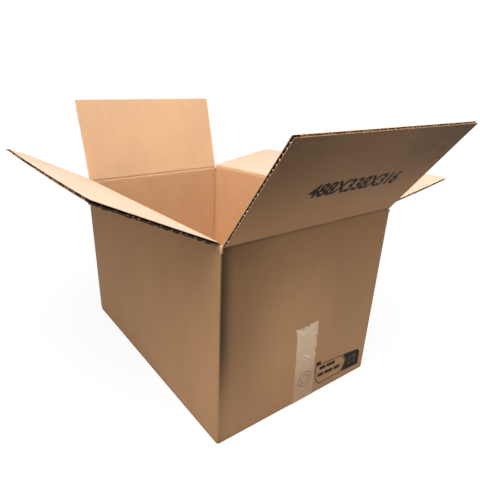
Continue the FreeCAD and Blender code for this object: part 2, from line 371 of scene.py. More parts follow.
def corner_distance(tree, far_x, far_y, half_length, half_width):
    """How far along a wall a point is from the fold in the corner."""
    from_x = math_node(tree, "SUBTRACT", half_length, far_x)
    from_y = math_node(tree, "SUBTRACT", half_width, far_y)
    return add(tree, from_x, from_y)


# %% [markdown]
# Painted shade and wear on the tray
#
# The tray is painted darker as shade: beside its outer folds, in its inside
# corners, down one side of the near end panel and at its foot. The folds
# themselves are painted pale, in part a highlight and in part rubbed wear. Each
# of these is one number that the kraft's shade is multiplied by, and so the
# painted shade never hides the paper under it.

# %% Painted shade and wear
# The painted shade down the near end panel's left side: its depth by the fold and across a broad
# band, and how much of it is left near the floor.
PANEL_SHADE_NARROW, PANEL_SHADE_BROAD, PANEL_SHADE_LOW = 0.25, 0.60, 0.22
SCUFFS = (
    ((0.244, -0.0835, 0.2086), (0.004, 0.0048, 0.0017), 0.38),
    ((0.244, -0.1045, 0.0150), (0.004, 0.0022, 0.0020), 0.45),
    ((0.060, -0.169, 0.1200), (0.030, 0.004, 0.0060), 0.05),
)


def fold_shade_and_wear(tree, y, far_x, far_y, inner):
    """Folded corners: painted highlight and shade on the outside, painted shade inside."""
    outside = corner_distance(tree, far_x, far_y, HALF_LENGTH, HALF_WIDTH)
    inside = corner_distance(tree, far_x, far_y, INSIDE_LENGTH, INSIDE_WIDTH)
    # The outer folds are painted pale, in part as rubbed wear, and darker just beside them as
    # painted shade, all lighter towards the right.
    right = remap(tree, y, 0.0, 100 * MM, 0.0, 1.0)
    pale, dark = choose(tree, right, 1.02, 1.12), choose(tree, right, 0.95, 1.03)
    fold_highlight = remap(tree, outside, 0.0, 3 * MM, pale, 1.0, smooth=True)
    fold_shade = remap(tree, outside, 3 * MM, 9 * MM, dark, 1.0, smooth=True)
    # Painted shade in the inside corners.
    corner_shade = remap(tree, inside, 0.5 * MM, 6 * MM, 0.66, 1.0, smooth=True)
    return choose(tree, inner, multiply(tree, fold_highlight, fold_shade), corner_shade)


def end_panel_shade(tree, x, y, z):
    """Painted shade down the near end panel's left side, less near the floor,
    and a painted glow that lightens its middle."""
    end_face = remap(tree, x, 242.2 * MM, 243.6 * MM, 0.0, 1.0)
    from_fold = add(tree, y, HALF_WIDTH)
    narrow = remap(tree, from_fold, 1 * MM, 24 * MM, PANEL_SHADE_NARROW, 1.0, smooth=True)
    broad = remap(tree, from_fold, 0.0, 120 * MM, PANEL_SHADE_BROAD, 1.0, smooth=True)
    height_fade = remap(tree, z, 20 * MM, 190 * MM, PANEL_SHADE_LOW, 1.0, smooth=True)
    side_shade = choose(tree, multiply(tree, end_face, height_fade), 1.0, multiply(tree, narrow, broad))
    # A painted glow lightens the middle of the panel.
    off_y = math_node(tree, "ABSOLUTE", add(tree, y, 25 * MM))
    off_z = math_node(tree, "ABSOLUTE", add(tree, z, -150 * MM))
    painted_glow = multiply(tree, end_face, remap(tree, off_y, 20 * MM, 110 * MM, 1.0, 0.0, smooth=True),
                     remap(tree, off_z, 30 * MM, 120 * MM, 1.0, 0.0, smooth=True))
    return multiply(tree, side_shade, remap(tree, painted_glow, 0.0, 1.0, 1.0, 1.15))


def panel_shade(y, z):
    """The end panel's painted shade again as plain arithmetic, for pieces that cover it."""
    from_fold = y + HALF_WIDTH
    narrow = PANEL_SHADE_NARROW + (1.0 - PANEL_SHADE_NARROW) * ease(from_fold, 1 * MM, 24 * MM)
    broad = PANEL_SHADE_BROAD + (1.0 - PANEL_SHADE_BROAD) * ease(from_fold, 0.0, 120 * MM)
    height_fade = PANEL_SHADE_LOW + (1.0 - PANEL_SHADE_LOW) * ease(z, 20 * MM, 190 * MM)
    return 1.0 + (narrow * broad - 1.0) * height_fade


def scuff(tree, place, centre, size, depth):
    """A small dark spot, as a fingertip leaves it."""
    away = tree.nodes.new("ShaderNodeVectorMath")
    away.operation = "SUBTRACT"
    feed(tree, away.inputs[0], place)
    away.inputs[1].default_value = centre
    reach = vector_length(tree, stretch(tree, away.outputs[0], [1.0 / part for part in size]))
    return remap(tree, reach, 0.25, 1.0, 1.0 - depth, 1.0, smooth=True)


# %% Tray finish
def tray_material():
    """Kraft for the CAD tray, with its liners, cut edges, wear and painted shade in place."""
    material, tree, shader = new_material("carton_tray_kraft")
    place = object_place(tree)
    x, y, z = separate(tree, place)
    far_x = math_node(tree, "ABSOLUTE", x)
    far_y = math_node(tree, "ABSOLUTE", y)

    inside_walls = multiply(tree, short_of(tree, far_x, INSIDE_LENGTH + 0.05 * MM),
                            short_of(tree, far_y, INSIDE_WIDTH + 0.05 * MM))
    inner = multiply(tree, beyond(tree, z, BOARD - 0.1 * MM), inside_walls)
    # The cut edges between the liners show the darker paper of the middle.
    between = multiply(tree, short_of(tree, far_x, HALF_LENGTH - 0.6 * MM),
                       short_of(tree, far_y, HALF_WIDTH - 0.6 * MM),
                       beyond(tree, z, SLOT_FLOOR - 0.1 * MM))
    colour = mix_colour(tree, between, OUTER_KRAFT, MEDIUM_KRAFT)
    colour = mix_colour(tree, inner, colour, INNER_KRAFT)

    # Painted light and shade: the far wall is darker inside, the left wall darker
    # towards its far end and lighter towards its near end, and the outside of all
    # four walls darker at the foot.
    far_wall = multiply(tree, inner, short_of(tree, x, -INSIDE_LENGTH + 0.1 * MM))
    left_wall = short_of(tree, y, -HALF_WIDTH + 0.1 * MM)
    left_wall_light = remap(tree, x, -200 * MM, 160 * MM, 0.955, 1.055, smooth=True)
    foot = remap(tree, z, 0.0, 14 * MM, 0.86, 1.0, smooth=True)
    shade_and_wear = multiply(tree, fold_shade_and_wear(tree, y, far_x, far_y, inner), end_panel_shade(tree, x, y, z),
                    remap(tree, far_wall, 0.0, 1.0, 1.0, 0.82),
                    choose(tree, left_wall, 1.0, left_wall_light), choose(tree, inner, foot, 1.0))
    for centre, size, depth in SCUFFS:
        shade_and_wear = multiply(tree, shade_and_wear, scuff(tree, place, centre, size, depth))
    board = tray_board(tree, x, y, z, far_x, far_y, inside_walls)
    kraft_finish(tree, shader, board, colour, shade_and_wear)
    return material


carton_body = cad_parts["carton_body"]
tray_kraft = tray_material()
if not carton_body.material_slots:
    carton_body.data.materials.append(tray_kraft)
for material_slot in carton_body.material_slots:
    material_slot.material = tray_kraft
print("tray finish on", carton_body.name, "slots", len(carton_body.material_slots))

# %% [markdown]
# Folding paper
#
# Each flap is one sheet of board that goes on past the crease. It is simplest
# to make such a sheet flat, in board coordinates: u along the crease, s up the
# board from the crease and h inwards through its thickness. A single function
# then folds it about the hinge line, a little at a time across the crease, so
# flap and crease strips share one shape at rest. Real flaps aren't quite flat.
# Here each one bends to one side only: in the closed lid the side flaps, which
# are on top, bend up and the end flaps under them down, so none cuts another.

# %% Creases and the fold
class Crease:
    """One top crease: where it lies, which way is out, and how its flap stands.

    The elevation is the flap's angle above the horizontal in degrees. The lifts
    are the degrees more at its two ends, and the droop those less in its middle.
    The bow is how far its sheet bulges inwards halfway up.
    """

    def __init__(self, body, middle, along, out, half_width, elevation, lifts, bow, droop=0.0):
        self.body = body
        self.middle = Vector(middle) * MM
        self.along = Vector(along)
        self.out = Vector(out)
        self.half_width = half_width * MM
        self.elevation = elevation
        self.lifts = lifts
        self.bow = bow * MM
        self.droop = droop


FLAP_DEPTH = 167.5 * MM
UP = Vector((0, 0, 1))
CREASES = {
    "left": Crease("left_flap", (0, -168, 315.5), (1, 0, 0), (0, -1, 0), 239,
                   elevation=27.0, lifts=(0.0, -0.9), bow=-0.2, droop=1.0),
    "right": Crease("right_flap", (0, 168, 315.5), (-1, 0, 0), (0, 1, 0), 239,
                    elevation=9.2, lifts=(-1.1, 0.0), bow=-0.8),
    "front": Crease("front_flap", (243, 0, 311.2), (0, 1, 0), (1, 0, 0), 164,
                    elevation=53.9, lifts=(0.0, 0.0), bow=0.3),
    "back": Crease("back_flap", (-243, 0, 311.2), (0, -1, 0), (-1, 0, 0), 164,
                   elevation=75.6, lifts=(0.0, 0.0), bow=0.2),
}
BEND_REACH = 1.3 * MM


print("flaps stand at", {side: crease.elevation for side, crease in CREASES.items()}, "degrees")


def flap_up(crease, turn):
    """The direction up the board once it has turned outwards from the wall."""
    return UP * math.cos(turn) + crease.out * math.sin(turn)


def fold(crease, u, s, h):
    """A flat board point, folded about its crease to where it is at rest."""
    across = u / crease.half_width
    depth = max(0.0, s / FLAP_DEPTH)
    lift = crease.lifts[1 if across > 0.0 else 0] * abs(across) ** 1.2
    lift -= crease.droop * (1.0 - across * across)
    turn = math.radians(90.0 - crease.elevation - lift)
    turn *= ease(s, -BEND_REACH, BEND_REACH)
    inwards = flap_up(crease, turn - math.pi / 2)
    h = h + crease.bow * math.sin(math.pi * depth) * (1.0 - 0.35 * across * across)
    return crease.middle + crease.along * u + flap_up(crease, turn) * s + inwards * h


# %% [markdown]
# The corrugated flaps
#
# A flap's cut edges show what the board is made of: two liners with a wavy
# sheet glued between them. On the free edge the waves are open to view, and on
# the side edges the knife ran along one flute and left a dark channel. Each of
# the three sheets starts as a bmesh grid, is given its height in flat board
# coordinates, thickened with solidify, and only then folded.

# %% Flap sheets
LINER = 0.42 * MM
MEDIUM = 0.28 * MM
INNER_FACE = 3.0 * MM
OUTER_FACE = -1.0 * MM
BOARD_MIDDLE = (INNER_FACE + OUTER_FACE) / 2
HANG_DOWN = math.radians(60.0)
EAR_CRUSH, EAR_CURL = 0.74, 3.0 * MM
KNIFE_CHANNEL = 5.4 * MM
FLAP_ROWS = [1.7, 2.0, 2.4, 2.8, 3.3, 3.9, 5.6, 7.5, 11, 20, 34, 50, 66, 82, 98,
             114, 130, 146, 158, 163.5, 166.2, 167.5]


def inner_skin(s):
    """Height of the inner liner's face, crushed towards the hinge line."""
    return min(INNER_FACE, max(0.5 * MM, s + 0.05 * MM))


def outer_skin(s):
    """Height of the outer liner's face, with the shallow scored valley."""
    return OUTER_FACE + 0.62 * MM * math.exp(-((s / (2.6 * MM)) ** 2))


def swing_room(s):
    """The lowest a sheet may lie by the hinge, to clear the wall when hung down."""
    return (1.15 * MM - s * math.cos(HANG_DOWN)) / math.sin(HANG_DOWN)


def board_grid(columns, rows):
    """A flat grid on x and y, each from 0 to 1, as a fresh bmesh."""
    bm = bmesh.new()
    bmesh.ops.create_grid(bm, x_segments=columns, y_segments=rows, size=0.5)
    bmesh.ops.translate(bm, verts=bm.verts, vec=(0.5, 0.5, 0.0))
    return bm


def thicken(bm, thickness):
    """Gives an open sheet its thickness."""
    bmesh.ops.solidify(bm, geom=bm.faces[:], thickness=thickness)


def thicken_from_face(bm, thickness, upwards):
    """Gives a flat sheet its thickness on the side away from the face that shows."""
    bmesh.ops.recalc_face_normals(bm, faces=bm.faces)
    bm.faces.ensure_lookup_table()
    if (bm.faces[len(bm.faces) // 2].normal.z > 0) != upwards:
        bmesh.ops.reverse_faces(bm, faces=bm.faces)
    thicken(bm, thickness)


def row_value(rows, t):
    """The listed row that a grid's y between 0 and 1 falls on, in metres."""
    return rows[round(t * (len(rows) - 1))] * MM


def dog_ear(crease, u, s):
    """How much the crushed far tip of the left flap takes part in its curl."""
    if crease.body != "left_flap":
        return 0.0
    along = ease(-u, crease.half_width - 42 * MM, crease.half_width)
    return along * ease(s, FLAP_DEPTH - 34 * MM, FLAP_DEPTH)


def curl_down(crease, u, s, h):
    """The height of a point once the dog-eared tip is crushed and curled."""
    ear = dog_ear(crease, u, s)
    return BOARD_MIDDLE + (h - BOARD_MIDDLE) * (1.0 - EAR_CRUSH * ear) - EAR_CURL * ear


def flap_sheet(crease, kind, seed):
    """One of a flap's three sheets in flat board coordinates."""
    chance = random.Random(seed)
    columns = round(2 * crease.half_width / FLUTE_PITCH) * (8 if kind == "medium" else 4)
    bm = board_grid(columns, len(FLAP_ROWS) - 1)
    nibble = {}
    for vertex in bm.verts:
        x, y = vertex.co.x, vertex.co.y
        u = (2 * x - 1) * crease.half_width
        s = row_value(FLAP_ROWS, y)
        wave = math.sin(2 * math.pi * u / FLUTE_PITCH)
        inner, outer = inner_skin(s), max(outer_skin(s), swing_room(s))
        if kind == "inner":
            h = inner - 0.03 * MM * (1 + wave)
        elif kind == "outer":
            h = outer + 0.03 * MM * (1 - wave)
        else:
            room = (inner - outer) / 2 - LINER - MEDIUM / 2
            h = (inner + outer) / 2 + max(0.0, room) * wave
        side = min(x, 1 - x)
        if side < 0.0005:
            ragged = chance.uniform(0.0, 0.45) if kind != "medium" else chance.uniform(4.2, 5.2)
            u -= math.copysign(ragged * MM, x - 0.5)
        elif kind == "medium":
            u = math.copysign(min(abs(u), crease.half_width - KNIFE_CHANNEL), u)
        if y > 0.999:
            key = round(u / FLUTE_PITCH * 2)
            nibble.setdefault(key, chance.uniform(0.0, 1.0))
            s -= nibble[key] * (0.9 if kind == "medium" else 0.10) * MM
        vertex.co = (u, s, curl_down(crease, u, s, h))
    thicken_from_face(bm, MEDIUM if kind == "medium" else LINER, upwards=kind != "outer")
    return bm


def append_sheet(target, source, index):
    """Copies one bmesh into another, with a material index on its faces."""
    for face in source.faces:
        face.material_index = index
    temporary = bpy.data.meshes.new("sheet")
    source.to_mesh(temporary)
    source.free()
    target.from_mesh(temporary)
    bpy.data.meshes.remove(temporary)


def write_board_uv(bm, shift, shade_and_wear=None, painted_highlight=None):
    """A UV map in metres of flat board, each point's painted shade and wear, and its painted
    highlight.
    """
    layer = bm.loops.layers.uv.new("board")
    shade_and_wear_layer = bm.verts.layers.float.new("shade_and_wear")
    highlighted = bm.verts.layers.float.new("painted_highlight")
    for vertex in bm.verts:
        vertex[shade_and_wear_layer] = 1.0 if shade_and_wear is None else shade_and_wear(*vertex.co)
        vertex[highlighted] = 0.0 if painted_highlight is None else painted_highlight(*vertex.co)
    for face in bm.faces:
        for loop in face.loops:
            loop[layer].uv = (loop.vert.co.x + shift, loop.vert.co.y + shift)


def fold_all(bm, crease):
    """Folds a whole flat piece about its crease."""
    for vertex in bm.verts:
        vertex.co = fold(crease, *vertex.co)


def make_piece(name, bm, materials, sharp=40.0):
    """A finished object at the origin, with its place in its mesh."""
    bmesh.ops.recalc_face_normals(bm, faces=bm.faces)
    mesh = bpy.data.meshes.new(name)
    bm.to_mesh(mesh)
    bm.free()
    for material in materials:
        mesh.materials.append(material)
    mesh.shade_smooth()
    mesh.set_sharp_from_angle(angle=math.radians(sharp))
    piece = bpy.data.objects.new(name, mesh)
    bpy.context.scene.collection.objects.link(piece)
    triangles = sum(len(polygon.vertices) - 2 for polygon in mesh.polygons)
    print(name, "triangles", triangles)
    return piece


def back_flap_shade(u):
    """Painted shade on the back flap's inner face, darker to one side."""
    return 0.90 - 0.09 * ease(u, -20 * MM, 130 * MM)


def flap_shade_and_wear(crease, side):
    """Pale cut liners, and painted light and shade on the flap's edges and faces."""
    tip_shade = {"left": 0.22, "front": 0.50}.get(side, 0.40)

    def shade_and_wear(u, s, h):
        ear = dog_ear(crease, u, s)
        h = BOARD_MIDDLE + (h + EAR_CURL * ear - BOARD_MIDDLE) / (1.0 - EAR_CRUSH * ear)
        inside_board = OUTER_FACE + 0.25 * MM < h < INNER_FACE - 0.25 * MM
        from_side = crease.half_width - abs(u)
        at_tip = s > FLAP_DEPTH - 0.35 * MM
        value = 1.0
        # Cut liners are pale; along the left flap's near edge the outer liner is painted dark as
        # shade.
        if from_side < 0.5 * MM:
            value = 0.25 if side == "left" and u > 0 and h < 0 else 1.25
        # Painted shade deep in the cut channels.
        elif inside_board and from_side < 9 * MM:
            value = 0.14
        elif at_tip:
            value = 1.20
        # Painted shade in the open flutes along the free edge.
        elif inside_board and s > FLAP_DEPTH - 5 * MM:
            value = tip_shade
        # Painted light near the front flap's crease and painted shade towards its tip and ends.
        elif side == "front" and h < 0:
            value = 1.22 - 0.55 * ease(s, 10 * MM, 155 * MM)
            value -= 0.24 * ease(u, 0.0, 150 * MM) * ease(s, 40 * MM, 150 * MM)
            value -= 0.15 * ease(-u, 60 * MM, 160 * MM) * ease(s, 0.0, 40 * MM)
        # Painted shade on the back flap's inner face.
        elif side == "back" and h > 0:
            value = back_flap_shade(u)
        # Darker over the crushed ear.
        return value * (1.0 - 0.70 * ear)
    return shade_and_wear


def flap_highlight(side):
    """The flaps that lie open get a painted highlight, the left one least at its far end."""
    def painted_highlight(u, s, h):
        if side == "left":
            return 1.0 - 0.45 * ease(-u, 40 * MM, 230 * MM)
        return 1.0 if side == "right" else 0.0
    return painted_highlight


def torn_fibres(crease, side, seed):
    """Tufts and rolled liner edges that a toothed knife left on a flap."""
    chance = random.Random(seed)
    bm = bmesh.new()
    for edge in (-1, 1):
        plain = side == "left" and edge > 0
        s = 7.0 * MM
        while s < FLAP_DEPTH - 2 * MM:
            length = chance.uniform(0.9, 1.5) * MM if plain else chance.uniform(1.3, 2.3) * MM
            thick = chance.uniform(0.35, 0.6) if plain else chance.uniform(0.6, 1.0)
            u = edge * (crease.half_width - chance.uniform(0.6, 1.1) * MM)
            place = Vector((u, s, curl_down(crease, u, s, OUTER_FACE + LINER + length * 0.45)))
            lean = Euler([chance.uniform(*turns) for turns in ((-0.6, 0.6), (-0.5, 0.5), (0, 3))])
            bmesh.ops.create_cone(bm, segments=6, radius1=thick * MM,
                                  radius2=0.3 * MM, depth=length, cap_ends=True,
                                  matrix=Matrix.Translation(place) @ lean.to_matrix().to_4x4())
            s += (chance.uniform(6.0, 16.0) if plain else chance.uniform(0.92, 1.08) * 6.7) * MM
        rim = board_grid(130, 5)
        for vertex in rim.verts:
            turn, s = vertex.co.y * math.pi, (5.0 + 162.0 * vertex.co.x) * MM
            lump = (0.42 + 0.22 * rough(s * 260, edge * 3.0, seed)) * MM
            u = crease.half_width - 0.1 * MM + lump * math.sin(turn)
            rim_height = curl_down(crease, edge * u, s, INNER_FACE - LINER - 0.1 * MM)
            vertex.co = (edge * u, s, rim_height + 0.6 * lump * math.cos(turn))
        bmesh.ops.recalc_face_normals(rim, faces=rim.faces)
        thicken(rim, 0.15 * MM)
        append_sheet(bm, rim, 0)
    return bm


def torn_lip(crease):
    """The ragged lip of outer liner along the left flap's near side edge, painted dark as shade."""
    bm = board_grid(260, 3)
    for vertex in bm.verts:
        s = (7.0 + 160.3 * vertex.co.x) * MM
        ragged = 0.5 + rough(s * 150, 2.0, 5.0) + 0.5 * rough(s * 520, 9.0, 1.0)
        hang = (0.35 + 1.5 * min(1.0, max(0.0, ragged))) * MM * ease(s, 5 * MM, 15 * MM)
        down = vertex.co.y
        u = crease.half_width - 0.35 * MM + 0.5 * MM * math.sin(math.pi * down)
        vertex.co = (u, s, OUTER_FACE + 0.25 * MM - hang * down)
    thicken(bm, 0.2 * MM)
    # The lip is painted near black: painted shade in the open flute behind it.
    write_board_uv(bm, 0.5, lambda u, s, h: 0.10)
    fold_all(bm, crease)
    lip = make_piece("left_flap_torn_lip", bm, (fluted_medium,))
    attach(lip, crease.body)
    return lip


for number, (side, crease) in enumerate(CREASES.items()):
    bm = bmesh.new()
    for index, kind in enumerate(("inner", "outer", "medium")):
        append_sheet(bm, flap_sheet(crease, kind, 17 * number + index), index)
    write_board_uv(bm, 0.7 * number, flap_shade_and_wear(crease, side), flap_highlight(side))
    fold_all(bm, crease)
    flap_board = make_piece(f"{side}_flap_board", bm, (inner_liner, outer_liner, fluted_medium))
    tufts = torn_fibres(crease, side, 90 + number)
    fold_all(tufts, crease)
    fibre_piece = make_piece(f"{side}_flap_torn_fibres", tufts, (torn_fibre,))
    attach(fibre_piece, crease.body)
    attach(flap_board, crease.body)
    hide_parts(f"{side}_flap")
torn_lip(CREASES["left"])

# %% [markdown]
# Crease strips
#
# The board isn't cut at a crease: both liners run over it, pressed into the
# crushed flutes. These narrow strips of liner join wall and flap inside and
# outside. Each bends across the crease between the tray and its flap.

# %% Crease strips
STRIP_ROWS = [-9, -8, -6.6, -5.4, -4.6, -3.8, -3.0, -2.3, -1.7, -1.2, -0.8, -0.4, 0,
              0.4, 0.8, 1.2, 1.7, 2.3, 3.0, 3.8, 4.6, 5.4, 6.6, 8, 9]
STRIP_PROUD = 0.10 * MM


def strip_height(s, inside):
    """The strip's face: just proud of the boards, sunk into them at its edges."""
    reach = abs(s)
    proud = STRIP_PROUD - 0.25 * MM * ease(reach, 6.5 * MM, 9 * MM)
    if inside:
        return INNER_FACE + proud - 1.0 * MM * math.exp(-((s / (1.5 * MM)) ** 2))
    return outer_skin(reach) - proud


def crease_strip(side, crease, inside):
    """The strip of liner over one crease, inside or outside the carton."""
    bm = board_grid(120, len(STRIP_ROWS) - 1)
    reach = crease.half_width - 0.35 * MM
    for vertex in bm.verts:
        u = (2 * vertex.co.x - 1) * reach
        s = row_value(STRIP_ROWS, vertex.co.y)
        pucker = rough(u * 90, s * 260, 3.0 if inside else 7.0)
        vertex.co = (u, s, strip_height(s, inside) + 0.05 * MM * pucker)
    thicken_from_face(bm, 0.16 * MM, upwards=inside)
    flap_shading_and_wear = flap_shade_and_wear(crease, side)

    # The line along each crease is painted shade, deeper outside, and the strip carries on the
    # painted shade of the panel and flaps beside it.
    def crease_shade(u, s, h):
        uneven = 0.75 + 0.5 * rough(u * 22, 4.0, 1.0)
        depth, width, centre = (0.34, 0.9 * MM, 0.0) if inside else (0.92, 1.8 * MM, 2.3 * MM)
        nearby_shade_and_wear = 1.0
        if side == "front" and not inside:
            uneven += 0.28 * ease(-u, 0.0, 120 * MM) + 0.06
            share = ease(s, -1 * MM, 2 * MM)
            nearby_shade_and_wear = panel_shade(u, 311 * MM) * (1.0 - share)
            nearby_shade_and_wear += flap_shading_and_wear(u, max(s, 0.0), -1.0) * share
        if side == "back" and inside:
            nearby_shade_and_wear = back_flap_shade(u)
        return nearby_shade_and_wear * (1.0 - depth * min(uneven, 1.05) * math.exp(-(((s - centre) / width) ** 2)))

    flap_highlighted = flap_highlight(side)

    # The inside strip takes on the flap's painted highlight past the crease.
    def painted_highlight(u, s, h):
        return ease(s, 0.0, 3 * MM) * flap_highlighted(u, s, h) * inside

    write_board_uv(bm, 0.31, crease_shade, painted_highlight)
    fold_all(bm, crease)
    name = f"{side}_crease_{'inside' if inside else 'outside'}"
    strip = make_piece(name, bm, (inner_liner if inside else outer_liner,))
    up = flap_up(crease, math.radians(90.0 - crease.elevation))
    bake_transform(strip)
    return strip


for side, crease in CREASES.items():
    for inside in (True, False):
        crease_strip(side, crease, inside)

# %% [markdown]
# Score beads in the corners
#
# Where two walls fold, the crushed flutes are squeezed out as a small bead up
# the inside of the corner. It is a quarter round of liner, thin near the top
# and plumper lower down. A grid is wrapped round each corner to make it.

# %% Score beads
def corner_name(x, y):
    """A corner's name in the names of pieces."""
    return f"{'front' if x > 0 else 'back'}_{'right' if y > 0 else 'left'}"


def corner_bead(corner_x, corner_y):
    """The bead up the inside of one folded corner."""
    bm = board_grid(8, 80)
    into_x, into_y = -math.copysign(1.0, corner_x), -math.copysign(1.0, corner_y)
    for vertex in bm.verts:
        angle = vertex.co.x * math.pi / 2
        z = (9.0 + 294.0 * vertex.co.y) * MM
        plump = 1.0 - ease(z, 115 * MM, 175 * MM)
        lump = rough(corner_x * 40, corner_y * 40, z * 85)
        radius = (1.05 + 0.8 * plump + 0.28 * lump) * MM
        vertex.co = (corner_x + into_x * radius * math.cos(angle),
                     corner_y + into_y * radius * math.sin(angle), z)
    write_board_uv(bm, 0.0, lambda x, y, z: 0.86 + 0.12 * rough(corner_x * 9, 2.0, z * 60))
    bmesh.ops.recalc_face_normals(bm, faces=bm.faces)
    thicken(bm, 0.15 * MM)
    bead = make_piece(f"score_bead_{corner_name(corner_x, corner_y)}", bm, (inner_liner,))
    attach(bead, "carton")
    return bead


for end, side in ((-1, 1), (1, 1), (1, -1)):
    corner_bead(end * INSIDE_LENGTH, side * INSIDE_WIDTH)

# %% [markdown]
# Torn webs in the slots
#
# The knife that cuts the slots between the flaps leaves a small crushed web of
# board standing on each corner, paler than the liners because its fibres are
# torn open. It is a rounded block: a cube, divided, drawn towards a ball and
# pushed about by noise.

# %% Slot webs
# Vector noise starts from the clock unless it has a seed.
noise.seed_set(7)


def slot_web(sign_x, sign_y, top, seed):
    """The web on one corner, from the slot's floor up to its top in mm."""
    bm = bmesh.new()
    bmesh.ops.create_cube(bm, size=1.0)
    bmesh.ops.subdivide_edges(bm, edges=bm.edges[:], cuts=7, use_grid_fill=True)
    low = SLOT_FLOOR / MM
    for vertex in bm.verts:
        round_off = vertex.co.normalized() * 0.62
        shape = vertex.co.lerp(round_off, 0.55)
        height = (shape.z + 0.5) * (top - low)
        lumps = noise.noise_vector(shape * 3.2 + Vector((seed, 0.0, 0.0))) * 0.55
        flare = 1.0 + 0.25 * ease(height, 0.0, top - low)
        vertex.co = Vector((sign_x * (242.1 + shape.x * 2.7 * flare + lumps.x),
                            sign_y * (167.1 + shape.y * 2.7 * flare + lumps.y),
                            low + height + lumps.z)) * MM
    web = make_piece(f"slot_web_{corner_name(sign_x, sign_y)}", bm, (web_fibre,))
    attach(web, "carton")
    return web


for sign_x, sign_y, top, seed in ((1, -1, 315.2, 1.0), (1, 1, 309.5, 4.0),
                                  (-1, 1, 309.0, 7.0), (-1, -1, 309.0, 9.0)):
    slot_web(sign_x, sign_y, top, seed)

# %% [markdown]
# The foot of the carton
#
# The walls end in a crisp pressed edge that hides the two layers of the bottom
# behind it. One thin skirt of liner makes that edge: a grid wrapped round the
# carton's plan with its folded corners, tucked under at the bottom. It takes the
# tray's own finish, so its pattern runs on from the walls.

# %% Foot skirt
# Each row's height, and how far out from the walls it stands, in mm.
SKIRT = [(13.0, 0.02), (11.0, 0.04), (8.7, 0.05), (6.0, 0.05), (4.0, 0.04), (2.4, 0.0), (1.4, -0.2),
         (0.8, -0.5), (0.4, -1.0), (0.2, -1.8), (0.2, -3.0)]
PLAN_X, PLAN_Y, PLAN_RADIUS = 239.5, 164.5, 4.5
QUARTER = PLAN_RADIUS * math.pi / 2
PLAN_RUNS = [2 * PLAN_Y, QUARTER, 2 * PLAN_X, QUARTER] * 2


def plan_point(share, out):
    """A point on the walls' plan, whose corners are folded to a small radius."""
    walk = (share % 1.0) * sum(PLAN_RUNS)
    reach = PLAN_RADIUS + out
    corners = [Vector((PLAN_X, -PLAN_Y)), Vector((PLAN_X, PLAN_Y)),
               Vector((-PLAN_X, PLAN_Y)), Vector((-PLAN_X, -PLAN_Y))]
    for index in range(4):
        turn = index * math.pi / 2
        heading = Vector((math.cos(turn), math.sin(turn)))
        if walk <= PLAN_RUNS[2 * index]:
            return corners[index] + Vector((-heading.y, heading.x)) * walk + heading * reach
        walk -= PLAN_RUNS[2 * index]
        if walk <= QUARTER:
            turn += walk / PLAN_RADIUS
            return corners[(index + 1) % 4] + Vector((math.cos(turn), math.sin(turn))) * reach
        walk -= QUARTER
    return corners[0] + Vector((reach, 0.0))


def skirt_shares():
    """Where the skirt is divided: close together on the corners, wide apart between."""
    walked, shares = 0.0, []
    for index, run in enumerate(PLAN_RUNS):
        cuts = 6 if index % 2 else 40
        shares += [(walked + run * cut / cuts) / sum(PLAN_RUNS) for cut in range(cuts)]
        walked += run
    return shares + [1.0]


SHARES = skirt_shares()
bm = board_grid(len(SHARES) - 1, len(SKIRT) - 1)
for vertex in bm.verts:
    z, out = SKIRT[round(vertex.co.y * (len(SKIRT) - 1))]
    share = SHARES[round(vertex.co.x * (len(SHARES) - 1))]
    x, y = plan_point(share, out)
    wobble = 0.06 * rough(x * 0.05, y * 0.05, 1.0) if 0.3 < z < 5 else 0.0
    vertex.co = Vector((x, y, z + wobble)) * MM
bmesh.ops.remove_doubles(bm, verts=bm.verts, dist=1e-6)
bmesh.ops.recalc_face_normals(bm, faces=bm.faces)
thicken(bm, 0.12 * MM)
foot_skirt = make_piece("foot_skirt", bm, (tray_kraft,), sharp=60.0)
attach(foot_skirt, "carton")

# %% [markdown]
# Ink
#
# The carton carries plain black stamp ink: its size in numbers on the front
# flap, and on the end panel a box of bars with a dark end, beside a round mark
# that half shows through the tape. The bars, the box and the rings say nothing;
# they only stand for printed matter. Ink soaks in unevenly, so its colour is
# broken by noise, and it lies as a skin a few hundredths thick on the paper.

# %% Ink material
def ink_material(name, dark, light):
    """Stamp ink: matt, and thin where the paper's fibres show through."""
    material, tree, shader = new_material(name)
    place = object_place(tree)
    patch = noise_node(tree, place, 260.0, 4.0, 0.65)
    fibre = noise_node(tree, place, 1500.0, 2.0)
    cover = math_node(tree, "ADD", remap(tree, patch, 0.45, 0.72, 0.0, 0.7),
                      remap(tree, fibre, 0.55, 0.8, 0.0, 0.5), clamp=True)
    feed(tree, shader.inputs["Base Color"], mix_colour(tree, cover, dark, light))
    feed(tree, shader.inputs["Roughness"], spread(tree, patch, 0.5, 0.75))
    shader.inputs["Specular IOR Level"].default_value = 0.06
    return material


stamp_ink = ink_material("stamp_ink", (0.010, 0.008, 0.007, 1.0), (0.050, 0.031, 0.019, 1.0))
thin_ink = ink_material("thin_stamp_ink", (0.045, 0.034, 0.026, 1.0), (0.15, 0.095, 0.055, 1.0))

# %% [markdown]
# The size numbers
#
# Blender's text object sets the figures in its own plain font. The text is
# turned into a mesh, stretched to the height and length of the print, given a
# skin's thickness and folded with the flap, so that it lies on the board.

# %% Size numbers
PRINT_SPAN = (-80 * MM, 91 * MM)
PRINT_RISE = (71 * MM, 95 * MM)
INK_SKIN = 0.03 * MM


